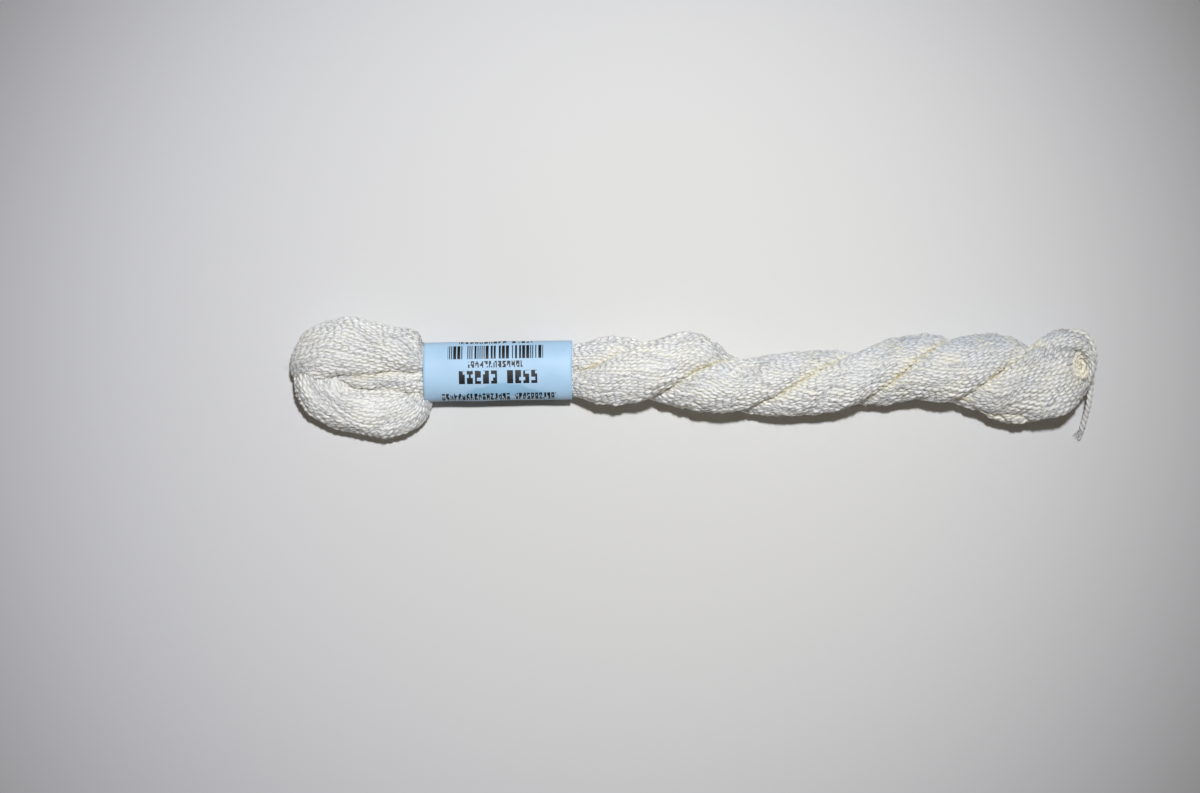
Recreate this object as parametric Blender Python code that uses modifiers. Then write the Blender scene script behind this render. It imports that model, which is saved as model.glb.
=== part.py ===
"""Skein of embroidery floss: a hank twisted into a two-ply rope, with a bun at one end, a folded
loop at the other, a paper label band beside the bun and one loose thread end past the loop.

The rope runs along X, from the bun at -X to the folded loop at +X. The hank lies on z = 0.
Table sizes are in millimetres and angles in degrees.
"""

import math
from collections import namedtuple

import bmesh
import bpy
from mathutils import Vector

MM = 0.001
CLEARANCE = 0.3  # between neighbouring pieces

THREAD_DIAMETER = 1.2
RING_SIDES = 18  # corners of a bundle's section
RINGS_PER_ROW = 4  # sections lofted between two rows of a table
MOST_TURN = 0.8  # how near a bundle's inside comes to the middle of its turn, 1 being at it

BAND_CENTRE = Vector((-48.8, 2.0, 5.65))
BAND_LENGTH = 38.4
BAND_WIDTH = 15.2
BAND_HEIGHT = 10.9
BAND_WALL = 0.45
BAND_SLANT = 1.0  # the band's ends and axis lie turned this far about Z
BAND_SIDES = 48
CORE_REACH = 4.0  # the core runs this far out of each end of the band

# Two plies turn about the rope's axis. A row for each quarter turn: where the axis is, how far the
# plies have turned, how far each ply's middle lies from the axis, and a ply's half width across
# and half thickness away from the axis.
RopeRow = namedtuple("RopeRow", "x y z turn apart across deep")
ROPE = (
    RopeRow(-29.0, 2.2, 5.8, 90, 2.6, 5.0, 4.7),
    RopeRow(-26.7, 2.2, 6.0, 94, 2.7, 5.3, 4.9),
    RopeRow(-20.1, 2.1, 7.6, 119, 3.4, 6.8, 5.7),
    RopeRow(-10.3, 2.2, 8.6, 180, 3.4, 7.3, 5.6),
    RopeRow(1.3, 2.1, 8.6, 270, 3.9, 6.8, 6.1),
    RopeRow(13.1, -1.4, 8.5, 360, 3.2, 6.9, 5.7),
    RopeRow(28.0, -1.2, 8.4, 450, 2.9, 6.8, 5.5),
    RopeRow(42.5, 0.0, 8.3, 540, 3.1, 6.6, 5.6),
    RopeRow(56.1, 2.5, 8.6, 630, 3.2, 6.9, 5.8),
    RopeRow(67.5, 2.4, 8.6, 720, 3.3, 7.9, 5.7),
    RopeRow(78.9, 1.3, 8.7, 810, 4.3, 7.4, 6.4),
    RopeRow(84.4, 0.3, 8.7, 855, 4.2, 8.8, 5.5),
    RopeRow(89.9, -0.6, 8.6, 900, 4.1, 10.2, 4.4),
)

# A bundle's middle line, how far it is rolled about that line, and its half width and thickness.
PathRow = namedtuple("PathRow", "x y z roll across deep")

# The second ply comes up on the near side, spreads over the top and turns down at the end: a half
# turn about a line across the loop. The first ply goes out beneath and ends inside the turn.
FOLD_MIDDLE = Vector((94.7, 0, 8.6))
FOLD_RADIUS = 4.2
FoldRow = namedtuple("FoldRow", "angle y across deep")
FOLD = (
    FoldRow(90, 1.0, 10.7, 3.5),
    FoldRow(45, 1.9, 10.3, 3.5),
    FoldRow(0, 1.9, 9.4, 3.4),
    FoldRow(-45, 1.8, 8.8, 3.5),
    FoldRow(-80, 1.4, 8.4, 3.6),
)
END_BENEATH = PathRow(96.5, 1.4, 4.4, -ROPE[-1].turn, 7.2, 3.2)
EYE_CENTRE = Vector((99.8, 5.2, 15.0))
EYE_RADII = Vector((2.0, 3.4, 6.0))

# The top of the bun: out of the band's upper half, over to the end and down.
BUN_TOP = (
    PathRow(-68.7, 6.0, 7.0, 0, 4.3, 3.9),
    PathRow(-71.7, 6.9, 7.6, 0, 5.5, 4.1),
    PathRow(-76.1, 7.9, 9.3, 0, 6.4, 4.3),
    PathRow(-82.6, 8.1, 10.3, 0, 7.3, 4.2),
    PathRow(-91.1, 7.3, 10.0, 0, 7.3, 3.9),
    PathRow(-97.1, 5.0, 8.6, 0, 6.9, 3.6),
    PathRow(-99.1, 3.4, 4.6, 0, 6.2, 3.4),
)

# The same turns on their way back beneath the bun.
BUN_BENEATH = (
    PathRow(-101.0, 3.0, 3.4, 0, 3.8, 1.7),
    PathRow(-98.1, 3.0, 2.8, 0, 6.0, 3.0),
    PathRow(-89.1, 3.4, 2.8, 0, 6.6, 3.3),
    PathRow(-79.1, 3.2, 2.9, 0, 6.2, 3.3),
    PathRow(-69.0, 2.6, 4.2, 0, 4.0, 3.4),
)

# The other ply: out of the band's lower half and in beneath the top.
CURL_IN = (
    PathRow(-69.1, -0.9, 6.3, 0, 4.0, 4.3),
    PathRow(-73.6, -0.2, 6.8, 0, 3.3, 4.0),
    PathRow(-80.1, 1.2, 6.0, 0, 3.3, 3.7),
    PathRow(-87.1, 3.0, 5.6, 0, 4.2, 3.6),
    PathRow(-92.1, 3.4, 5.6, 0, 4.2, 3.4),
)

# It comes round to the left and back along the lower side to the band's corner.
CURL_OUT = (
    PathRow(-93.7, 5.4, 5.6, 0, 4.0, 3.4),
    PathRow(-95.6, 0.4, 5.4, 0, 6.1, 4.2),
    PathRow(-94.4, -3.9, 5.4, 0, 6.9, 4.6),
    PathRow(-91.1, -6.9, 5.4, 0, 7.2, 4.9),
    PathRow(-86.7, -8.1, 5.4, 0, 7.2, 5.1),
    PathRow(-82.3, -8.2, 5.4, 0, 7.2, 5.1),
    PathRow(-77.7, -8.2, 5.3, 0, 7.0, 5.0),
    PathRow(-73.3, -7.9, 5.2, 0, 6.2, 4.7),
    PathRow(-69.5, -6.4, 5.0, 0, 4.3, 4.1),
)

# The loose end: along the outside of the loop, then down to the surface.
CordRow = namedtuple("CordRow", "x y z")
LOOSE_END = (
    CordRow(100.6, 12.4, 12.2),
    CordRow(103.0, 7.2, 11.6),
    CordRow(103.5, 0.2, 9.9),
    CordRow(103.6, -6.4, 6.9),
    CordRow(103.4, -11.6, 2.4),
    CordRow(102.6, -15.9, 0.7),
)
POINTS_PER_CORD_ROW = 2

GROUND_SIZE = Vector((260, 80, 20))

SILK_WHITE = (0.87, 0.86, 0.82, 1.0)
PAPER_BLUE = (0.44, 0.65, 0.86, 1.0)


def along(rows, place):
    """The row at a place between rows, where 0 is the first row and 1 the second: a smooth
    curve through every row."""
    last = len(rows) - 1
    i = min(int(place), last - 1)
    t = place - i
    near = (rows[max(i - 1, 0)], rows[i], rows[i + 1], rows[min(i + 2, last)])

    def value(before, start, end, after):
        rise = end - start
        slope = (end - before) / 2
        end_slope = (after - start) / 2
        square = 3 * rise - 2 * slope - end_slope
        cube = slope + end_slope - 2 * rise
        return start + slope * t + square * t**2 + cube * t**3

    return type(rows[i])(*map(value, *near))


def spread(rows, per_row):
    """The rows and the ones between them, evenly."""
    count = (len(rows) - 1) * per_row
    return [along(rows, k / per_row) for k in range(count + 1)]


def ply_rows(first_turn):
    """The path of one ply. first_turn is 0 for one ply and 180 for the other."""
    rows = []
    for row in spread(ROPE, RINGS_PER_ROW):
        angle = math.radians(row.turn + first_turn)
        y = row.y + row.apart * math.sin(angle)
        z = row.z + row.apart * math.cos(angle)
        rows.append(PathRow(row.x, y, z, -(row.turn + first_turn), row.across, row.deep))
    return rows


def fold_rows():
    """The path of the folded loop, over its half turn."""
    rows = []
    for row in spread(FOLD, RINGS_PER_ROW):
        angle = math.radians(row.angle)
        x = FOLD_MIDDLE.x + FOLD_RADIUS * math.cos(angle)
        z = FOLD_MIDDLE.z + FOLD_RADIUS * math.sin(angle)
        rows.append(PathRow(x, row.y, z, 0, row.across, row.deep))
    return rows


def sections(rows, turns_flat=False):
    """Each row's middle, width direction, thickness direction and curvature. A bundle that turns
    flat on the surface keeps its thickness upright, and any other keeps its width along Y."""
    middles = [Vector((row.x, row.y, row.z)) for row in rows]
    level = Vector((1, 1, 0)) if turns_flat else Vector((1, 0, 1))
    steps = [(b - a) * level for a, b in zip(middles, middles[1:])]
    steps = [steps[0]] + steps + [steps[-1]]
    found = []
    for middle, row, behind, ahead in zip(middles, rows, steps, steps[1:]):
        line = (behind.normalized() + ahead.normalized()).normalized()
        bend = (ahead.normalized() - behind.normalized()) * 2 / (ahead.length + behind.length)
        side = Vector((0, 0, 1)).cross(line) if turns_flat else Vector((0, 1, 0))
        up = line.cross(side)
        roll = math.radians(row.roll)
        wide = side * math.cos(roll) + up * math.sin(roll)
        thick = up * math.cos(roll) - side * math.sin(roll)
        found.append((middle, wide, thick, bend, row))
    return found


def mesh_object(name, bm, material):
    bmesh.ops.recalc_face_normals(bm, faces=bm.faces)
    mesh = bpy.data.meshes.new(name)
    bm.to_mesh(mesh)
    bm.free()
    made = bpy.data.objects.new(name, mesh)
    made.data.materials.append(material)
    return made


def ring_loft(name, rings, material, capped=True):
    """A solid through rings of points with as many corners each, or an open tube."""
    bm = bmesh.new()
    made = [[bm.verts.new(point * MM) for point in ring] for ring in rings]
    sides = len(rings[0])
    for ring, following in zip(made, made[1:]):
        for i in range(sides):
            j = (i + 1) % sides
            bm.faces.new((ring[i], ring[j], following[j], following[i]))
    if capped:
        bm.faces.new(made[0])
        bm.faces.new(made[-1])
    return mesh_object(name, bm, material)


def oval(middle, wide, thick, across, deep, sides):
    ring = []
    for i in range(sides):
        angle = math.tau * i / sides
        ring.append(middle + wide * across * math.cos(angle) + thick * deep * math.sin(angle))
    return ring


def bundle(name, rows, material, turns_flat=False):
    """A loft of ovals along a path. Inside a tight turn the bundle is pressed thinner, so that it
    stops short of the turn's own middle."""
    rings = []
    for middle, wide, thick, bend, row in sections(rows, turns_flat):
        ring = oval(Vector(), wide, thick, row.across, row.deep, RING_SIDES)
        rings.append([middle + out * min(1, MOST_TURN / max(out.dot(bend), 1e-6)) for out in ring])
    return ring_loft(name, rings, material)


def band_rings(width, height, length):
    """The rings at the two ends of an oval tube that lies as the band does."""
    slant = math.radians(BAND_SLANT)
    ahead = Vector((math.cos(slant), math.sin(slant), 0))
    side = Vector((-math.sin(slant), math.cos(slant), 0))
    up = Vector((0, 0, 1))
    ends = (BAND_CENTRE - ahead * length / 2, BAND_CENTRE + ahead * length / 2)
    return [oval(end, side, up, width / 2, height / 2, BAND_SIDES) for end in ends]


def helper(made, cutters):
    """Keeps an object as a hidden operand for a Boolean."""
    cutters.objects.link(made)
    made.hide_render = True
    made.display_type = "WIRE"
    return made


def boolean(target, operation, other):
    step = target.modifiers.new(other.name, "BOOLEAN")
    step.operation = operation
    step.object = other
    step.solver = "EXACT"


def plain_material(name, colour, roughness):
    material = bpy.data.materials.new(name)
    material.use_nodes = True
    shader = material.node_tree.nodes["Principled BSDF"]
    shader.inputs["Base Color"].default_value = colour
    shader.inputs["Roughness"].default_value = roughness
    shader.inputs["Metallic"].default_value = 0.0
    return material


def make_eye(silk):
    """The hollow between the spread ply and the outermost turn of the loop."""
    bm = bmesh.new()
    bmesh.ops.create_uvsphere(bm, u_segments=14, v_segments=8, radius=1.0)
    for vert in bm.verts:
        vert.co = (EYE_CENTRE + vert.co * EYE_RADII) * MM
    return mesh_object("eye_cutter", bm, silk)


def make_ground(silk):
    """Everything under the surface, which gives the hank its flat spots."""
    bm = bmesh.new()
    bmesh.ops.create_cube(bm, size=1.0)
    for vert in bm.verts:
        vert.co = (vert.co * GROUND_SIZE - Vector((0, 0, GROUND_SIZE.z / 2))) * MM
    return mesh_object("ground_cutter", bm, silk)


def make_hank(silk, parts, cutters):
    first = ply_rows(0) + [END_BENEATH]
    second = ply_rows(180) + fold_rows()
    hank = bundle("hank", first, silk)
    parts.objects.link(hank)
    core_inset = BAND_WALL + CLEARANCE
    core_width = BAND_WIDTH - 2 * core_inset
    core_height = BAND_HEIGHT - 2 * core_inset
    core_length = BAND_LENGTH + 2 * CORE_REACH
    joined = (
        bundle("second_ply", second, silk),
        ring_loft("core", band_rings(core_width, core_height, core_length), silk),
        bundle("bun_top", spread(BUN_TOP, RINGS_PER_ROW), silk),
        bundle("bun_beneath", spread(BUN_BENEATH, RINGS_PER_ROW), silk),
        bundle("curl_in", spread(CURL_IN, RINGS_PER_ROW), silk, turns_flat=True),
        bundle("curl_out", spread(CURL_OUT, RINGS_PER_ROW), silk, turns_flat=True),
    )
    for piece in joined:
        boolean(hank, "UNION", helper(piece, cutters))
    boolean(hank, "DIFFERENCE", helper(make_eye(silk), cutters))
    boolean(hank, "DIFFERENCE", helper(make_ground(silk), cutters))
    return hank


def make_band(paper, parts):
    """The paper sleeve round the core."""
    rings = band_rings(BAND_WIDTH, BAND_HEIGHT, BAND_LENGTH)
    band = ring_loft("label_band", rings, paper, capped=False)
    wall = band.modifiers.new("wall", "SOLIDIFY")
    wall.thickness = BAND_WALL * MM
    wall.offset = -1
    parts.objects.link(band)
    return band


def make_loose_end(silk, parts):
    curve = bpy.data.curves.new("loose_end", "CURVE")
    curve.dimensions = "3D"
    curve.bevel_depth = THREAD_DIAMETER / 2 * MM
    curve.bevel_resolution = 2
    curve.use_fill_caps = True
    points = spread(LOOSE_END, POINTS_PER_CORD_ROW)
    spline = curve.splines.new("POLY")
    spline.points.add(len(points) - 1)
    for point, row in zip(spline.points, points):
        point.co = (row.x * MM, row.y * MM, row.z * MM, 1.0)
    loose_end = bpy.data.objects.new("loose_end", curve)
    curve.materials.append(silk)
    parts.objects.link(loose_end)
    return loose_end


def main():
    for old in list(bpy.data.objects):
        bpy.data.objects.remove(old, do_unlink=True)
    parts = bpy.data.collections.new("embroidery_floss_skein")
    cutters = bpy.data.collections.new("cutters")
    bpy.context.scene.collection.children.link(parts)
    bpy.context.scene.collection.children.link(cutters)
    silk = plain_material("silk_thread", SILK_WHITE, 0.5)
    paper = plain_material("band_paper", PAPER_BLUE, 0.4)
    make_hank(silk, parts, cutters)
    make_band(paper, parts)
    make_loose_end(silk, parts)


main()
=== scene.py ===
# Skein of white silk floss. Every turn that shows is a strand of two-ply thread, laid round the
# bundles of the hank. A paper band holds it, and one loose end comes off the folded loop.
import math
from collections import namedtuple

import bpy
import numpy as np
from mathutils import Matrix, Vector


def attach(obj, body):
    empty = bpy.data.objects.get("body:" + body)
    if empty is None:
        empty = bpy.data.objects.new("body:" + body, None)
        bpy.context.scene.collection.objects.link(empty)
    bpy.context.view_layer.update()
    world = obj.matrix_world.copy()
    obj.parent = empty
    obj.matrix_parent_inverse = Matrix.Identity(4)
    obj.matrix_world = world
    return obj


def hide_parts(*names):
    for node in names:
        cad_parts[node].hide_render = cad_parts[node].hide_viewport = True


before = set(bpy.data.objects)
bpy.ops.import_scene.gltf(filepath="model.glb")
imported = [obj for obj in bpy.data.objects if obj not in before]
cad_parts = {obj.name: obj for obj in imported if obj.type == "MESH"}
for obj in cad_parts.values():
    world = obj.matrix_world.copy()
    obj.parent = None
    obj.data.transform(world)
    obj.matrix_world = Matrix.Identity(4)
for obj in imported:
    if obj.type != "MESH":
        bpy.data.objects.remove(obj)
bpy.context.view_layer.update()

mm = 0.001
scene = bpy.context.scene

camera = {
    "above": (-22.6, -4.5),  # the point straight below it
    "height": 500.0,
    "lens": 57.3,
    "sensor": 36.0,
}


def addObject(name, data):
    made = bpy.data.objects.new(name, data)
    scene.collection.objects.link(made)
    return made


def addCamera():
    lens = bpy.data.cameras.new("camera")
    lens.lens = camera["lens"]
    lens.sensor_width = camera["sensor"]
    scene.camera = addObject("camera", lens)
    scene.camera.location = Vector((*camera["above"], camera["height"])) * mm


addCamera()
print("camera placed")


# Paths are rows of numbers in millimetres and degrees. A smooth curve goes through them, with
# perRow steps from each row to the next.
def smoothRows(rows, perRow):
    rows = np.array(rows, float)
    last = len(rows) - 1
    place = np.linspace(0, last, last * perRow + 1)
    i = np.minimum(place.astype(int), last - 1)
    t = (place - i)[:, None]
    before, start, end, after = (rows[np.clip(i + k, 0, last)] for k in (-1, 0, 1, 2))
    rise, slope, endSlope = end - start, (end - before) / 2, (after - start) / 2
    square = 3 * rise - 2 * slope - endSlope
    cube = slope + endSlope - 2 * rise
    return start + slope * t + square * t**2 + cube * t**3


# How far along the path each row is.
def reachOf(rows):
    gaps = np.linalg.norm(np.diff(rows[:, :3], axis=0), axis=1)
    return np.concatenate([[0], np.cumsum(gaps)])


def evenRows(rows, step):
    reach = reachOf(rows)
    places = np.linspace(0, reach[-1], max(int(reach[-1] / step), 2) + 1)
    return np.stack([np.interp(places, reach, column) for column in rows.T], 1)


# Evenly spaced rows, with corners rounded off over about this length.
def easeRows(rows, step, length):
    rows = evenRows(rows, step)
    half = int(3 * length / step)
    weight = np.exp(-0.5 * (np.arange(-half, half + 1) * step / length) ** 2)
    weight /= weight.sum()
    longer = np.pad(rows, ((half, half), (0, 0)), "edge")
    return np.stack([np.convolve(column, weight, "valid") for column in longer.T], 1)


def unit(vectors):
    return vectors / np.maximum(np.linalg.norm(vectors, axis=-1, keepdims=True), 1e-9)


def smoothStep(values, low, high):
    t = np.clip((values - low) / (high - low), 0, 1)
    return t * t * (3 - 2 * t)


# The rope: two plies turn about its axis. apart is from the axis to a ply's middle, across and
# deep are half a ply's width and thickness, and spin is how far its strands have gone round it.
RopeRow = namedtuple("RopeRow", "x y z turn apart across deep spin")
ropeRows = (
    RopeRow(-40.0, 2.2, 5.7, 90, 2.4, 4.3, 4.0, 135),
    RopeRow(-33.0, 2.2, 5.7, 90, 2.5, 4.7, 4.3, 135),
    RopeRow(-29.0, 2.2, 5.8, 90, 2.6, 5.0, 4.7, 135),
    RopeRow(-26.7, 2.2, 6.0, 94, 2.7, 5.3, 4.9, 141),
    RopeRow(-20.1, 2.1, 7.6, 119, 3.4, 6.8, 5.7, 178),
    RopeRow(-10.3, 2.2, 8.6, 180, 3.4, 7.3, 5.6, 270),
    RopeRow(1.3, 2.1, 8.6, 270, 3.9, 6.8, 6.1, 405),
    RopeRow(13.1, -1.6, 8.5, 360, 3.2, 6.5, 5.7, 540),
    RopeRow(20.4, -1.6, 8.4, 405, 3.0, 6.2, 5.2, 607),
    RopeRow(28.0, -1.1, 8.4, 450, 2.9, 6.8, 5.4, 675),
    RopeRow(42.5, 0.0, 8.3, 540, 3.1, 6.6, 5.6, 810),
    RopeRow(56.1, 2.8, 8.6, 630, 3.1, 6.9, 5.6, 945),
    RopeRow(67.5, 2.4, 8.6, 720, 3.3, 7.9, 5.7, 1075),
    RopeRow(78.9, 1.3, 8.7, 810, 4.3, 7.4, 6.4, 1190),
    RopeRow(84.4, 0.3, 8.7, 855, 4.2, 8.8, 5.5, 1240),
    RopeRow(89.9, -0.6, 8.6, 900, 4.1, 10.2, 4.4, 1282),
)
# The loop: one ply spreads, turns down about a line across the loop and goes back as the other.
fold = {
    "middle": (94.7, 8.6),
    "radius": 4.2,
    "rows": (  # angle, y, across, deep
        (90, 1.0, 10.7, 3.5),
        (45, 1.9, 10.3, 3.5),
        (0, 1.9, 9.4, 3.4),
        (-45, 1.8, 8.8, 3.5),
        (-80, 1.4, 8.6, 3.6),
    ),
    "tucked": 1.5,  # how much narrower the ply that goes back gets over this stretch of X
    "tuckedOver": (80.0, 90.0),
    "legsEnd": 89.0,  # where along X the plies start to spread into the loop
    "beneath": 5.0,  # what lies lower than this goes back
}
# The bun: one ply goes over its end and back beneath, the other curls round under it.
BunRow = namedtuple("BunRow", "x y z across deep spin")
bunTop = (
    BunRow(-58.0, 5.2, 6.4, 3.6, 3.6, 0),
    BunRow(-65.0, 5.5, 6.6, 4.2, 3.8, 25),
    BunRow(-68.7, 6.1, 7.2, 5.2, 3.9, 42),
    BunRow(-71.7, 7.1, 7.9, 6.0, 4.1, 58),
    BunRow(-76.1, 7.9, 9.3, 6.5, 4.3, 80),
    BunRow(-82.6, 8.1, 10.3, 7.3, 4.2, 106),
    BunRow(-91.5, 7.8, 10.0, 7.5, 4.0, 134),
    BunRow(-97.6, 5.9, 8.6, 7.0, 3.6, 150),
    BunRow(-99.4, 3.8, 5.6, 6.4, 3.3, 160),
    BunRow(-97.2, 3.2, 3.4, 6.2, 3.2, 165),
    BunRow(-89.1, 3.4, 2.9, 6.6, 3.3, 180),
    BunRow(-79.1, 3.2, 2.9, 6.2, 3.3, 200),
    BunRow(-69.0, 2.6, 4.2, 4.0, 3.4, 220),
    BunRow(-60.0, 2.4, 4.4, 3.6, 3.2, 240),
)
curlIn = (
    BunRow(-59.0, -1.0, 5.9, 3.6, 4.0, 0),
    BunRow(-65.0, -1.2, 6.1, 3.8, 4.2, 0),
    BunRow(-69.1, -0.9, 6.2, 3.9, 4.1, 0),
    BunRow(-73.2, -0.3, 6.8, 3.4, 4.2, 0),
    BunRow(-77.0, 0.0, 7.3, 3.1, 4.2, 0),
    BunRow(-80.5, -0.1, 7.3, 3.0, 4.1, 0),
    BunRow(-85.0, 0.0, 7.0, 3.0, 4.0, 0),
    BunRow(-88.6, 0.7, 6.3, 2.6, 3.7, 0),
    BunRow(-91.4, 1.6, 5.2, 2.4, 3.2, 0),
)
curlOut = (
    BunRow(-93.2, 7.0, 6.6, 5.2, 3.6, -10),
    BunRow(-94.9, 2.4, 6.6, 6.4, 4.4, 0),
    BunRow(-94.9, -2.0, 6.0, 7.1, 4.8, 14),
    BunRow(-91.6, -5.0, 5.6, 6.7, 5.0, 32),
    BunRow(-88.2, -7.1, 5.4, 6.5, 5.1, 46),
    BunRow(-84.0, -7.7, 5.4, 7.4, 5.2, 50),
    BunRow(-78.5, -7.9, 5.6, 7.4, 5.2, 48),
    BunRow(-74.4, -7.7, 5.7, 6.6, 5.1, 44),
    BunRow(-71.2, -6.7, 5.5, 5.5, 4.7, 41),
    BunRow(-69.3, -5.0, 5.2, 3.8, 4.0, 38),
    BunRow(-67.6, -3.5, 5.0, 3.0, 3.6, 36),
    BunRow(-62.0, -2.6, 5.0, 3.0, 3.4, 36),
)
# Some turns of the bun go round its end from the one side to the other.
wrap = (
    BunRow(-84.0, 11.0, 10.0, 1.8, 1.8, 0),
    BunRow(-89.8, 9.8, 10.6, 2.6, 2.3, 4),
    BunRow(-94.6, 6.8, 10.0, 3.0, 2.7, 8),
    BunRow(-97.3, 2.6, 8.8, 3.1, 3.0, 12),
    BunRow(-97.5, -2.0, 8.2, 3.1, 3.0, 16),
    BunRow(-95.4, -6.2, 7.8, 2.9, 2.8, 18),
    BunRow(-91.4, -9.4, 7.4, 2.5, 2.6, 20),
    BunRow(-86.4, -11.6, 6.6, 1.9, 2.2, 20),
)
# The outer turns of the loop go round the eye instead of down.
rim = (
    BunRow(84.5, 1.2, 11.6, 3.4, 2.6, 0),
    BunRow(88.8, 4.8, 12.8, 4.0, 3.0, 4),
    BunRow(92.8, 7.8, 13.3, 3.9, 3.0, 8),
    BunRow(97.0, 9.6, 12.9, 3.2, 3.0, 10),
    BunRow(100.5, 8.7, 12.0, 2.2, 3.2, 10),
    BunRow(102.4, 5.6, 11.1, 1.4, 3.5, 8),
    BunRow(102.8, 1.8, 9.9, 1.2, 3.5, 4),
    BunRow(102.1, -1.6, 8.6, 1.5, 3.4, 0),
    BunRow(99.8, -4.4, 7.2, 1.9, 3.0, 0),
)
# Some turns cross to the loop's near side and go down under its edge.
apron = (
    BunRow(66.0, -0.6, 9.6, 2.2, 2.4, 0),
    BunRow(71.5, -4.0, 10.0, 2.4, 2.7, 0),
    BunRow(77.0, -6.4, 8.8, 2.8, 3.6, 0),
    BunRow(82.0, -8.0, 7.4, 3.1, 4.5, 0),
    BunRow(86.5, -8.2, 6.7, 3.1, 5.0, 0),
    BunRow(91.0, -7.5, 6.2, 3.0, 5.1, 0),
    BunRow(95.0, -6.4, 5.9, 2.8, 4.8, 0),
    BunRow(98.2, -5.0, 5.6, 2.2, 4.0, 0),
)
# A turn at the loop's outer edge, over the place where the loose end comes out.
outerTurn = (
    (94.6, 11.6, 13.4),
    (98.2, 12.2, 13.2),
    (100.9, 11.5, 13.1),
    (102.9, 9.1, 12.7),
    (103.9, 5.6, 11.8),
    (104.0, 2.0, 10.6),
)


def plyPath(firstTurn):
    path = []
    for x, y, z, turn, apart, across, deep, spin in smoothRows(ropeRows, perRow=24):
        angle = math.radians(turn + firstTurn)
        away = (apart * math.sin(angle), apart * math.cos(angle))
        path.append((x, y + away[0], z + away[1], -(turn + firstTurn), across, deep, spin))
    return path


# Out along one ply, over the loop and back along the other. Roll and spin run on unbroken.
def ropePath():
    outward = plyPath(180)
    lastRoll, lastSpin = outward[-1][3], outward[-1][6]
    middle, radius = fold["middle"], fold["radius"]
    over = []
    for angle, y, across, deep in smoothRows(fold["rows"], perRow=16):
        angle = math.radians(angle)
        x, z = middle[0] + radius * math.cos(angle), middle[1] + radius * math.sin(angle)
        over.append((x, y, z, lastRoll, across, deep, lastSpin))
    back = []
    for x, y, z, roll, across, deep, spin in plyPath(0)[::-1]:
        tucked = fold["tucked"] * float(smoothStep(x, *fold["tuckedOver"]))
        rollOn, spinOn = 2 * lastRoll - roll + 180, 2 * lastSpin - spin
        back.append((x, y - tucked, z, rollOn, across - tucked, deep, spinOn))
    return np.array(outward + over + back)


# A path of the bun, which isn't rolled.
def bunPath(rows):
    rows = smoothRows(rows, perRow=16)
    return easeRows(np.insert(rows, 3, 0, 1), strand["step"], strand["bunEase"])


strand = {
    "thickness": 1.42,
    "step": 0.44,  # between two rings of a strand's mesh
    "twist": 3.6,  # the length in which its two plies go once round each other
    "twistShares": (0.93, 1.08),  # its range from strand to strand
    "uneven": 0.06,  # how much its size varies, over lengths in this range
    "unevenOver": (12, 28),
    "tips": 0.3,
    "sides": 10,
    "waist": 0.5,  # the narrow way across, as a share of the wide way
    "mostTurn": 0.8,  # how near a bundle's inside comes to the middle of its turn
    "surface": 0.61,  # the lowest that a strand's middle lies
    "lowest": 0.02,  # the lowest that any of it lies
    "softness": 0.04,  # of the way in which strands come to lie on the floor
    "below": 0.08,  # its top lies this far below the bundle's own surface
    "hiddenDepth": 1.5,  # what lies this deep in another bundle is left out
    "fewest": 4,  # and so is a stretch of no more than this many steps
    "ropeEase": 1.6,  # corners are rounded off over this length
    "bunEase": 0.8,
    "skinDepth": 0.7,
    "skinSides": 64,
    "splitWidth": 2.5,  # these five are in gaps from strand to strand
    "splitOpen": 0.13,
    "jitter": 0.15,
    "sway": 0.2,
    "wander": 0.16,
    "riseAndFall": 0.13,  # and these two are in millimetres
    "smallLumps": 0.12,
    "usualGap": 0.92,  # strands are this far apart where they have their plain thickness
    "sizes": (0.93, 1.18),
}
# How long the waves are that make a bundle uneven, and how often the first three go round it.
ripples = {
    "sway": ((17, 29), (2, 3)),
    "lumps": ((15, 24), (1, 2)),
    "smallLumps": ((11, 19), (3, 5)),
    "wander": (9, 16, 26),
    "riseAndFall": (5, 9, 14),
}
band = {
    "centre": (-49.0, 2.1, 5.65),
    "length": 38.2,
    "width": 15.6,
    "height": 10.9,
    "slant": 1.0,
    "thickness": 0.16,
    "square": 2.35,  # 2 would give an ellipse
    "play": 0.2,  # between strands and the paper
    "reach": 5.0,  # how far strands go in
    "swell": (-0.1, 1.5),  # past its ends, where the strands get their own shape again
    "overhang": 2.8,  # how much later that is for what hangs over the near edge
    "edge": (-0.6, 0.8),
    "rings": 56,
    "sides": 168,
    "wound": (-96, 276),  # where the paper starts and ends, in degrees round the band
    "lapped": (250, 262),  # where it steps up on to its own start
    "lap": 1.15,  # the height of that step, in thicknesses
    "raggedOver": 6.0,
    "ragged": ((0.22, 1, 0.6), (0.08, 3, 0)),  # how far, times round and where it starts
    "wavy": ((0.05, 3.1, 3, 0), (0.04, 1.9, -5, 1)),  # the same, with a length after how far
}
eye = {
    "middle": (100.4, 3.5),
    "half": (2.2, 3.1),
    "left": 94.7,
    "drawnIn": 0.5,
    "from": 6.0,
    "to": 11.0,
    "lowered": 2.2,
    "turns": 2.9,
    "steps": 140,
    "width": 1.2,  # of its first turn, as a share of half, and how much narrower each turn is
    "narrower": 0.37,
    "height": 9.4,
    "rise": 3.2,
    "bowl": (1.2, 0.95, 0.6, 0.2),  # the widths of the rings of the bowl below
    "bowlHeight": 9.6,
    "bowlRise": 2.3,
}


# Where points lie along the band, to its side and up from its middle.
def bandPlace(points):
    slant = math.radians(band["slant"])
    x, y, z = np.moveaxis(points - np.array(band["centre"]), -1, 0)
    return x * math.cos(slant) + y * math.sin(slant), y * math.cos(slant) - x * math.sin(slant), z


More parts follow.
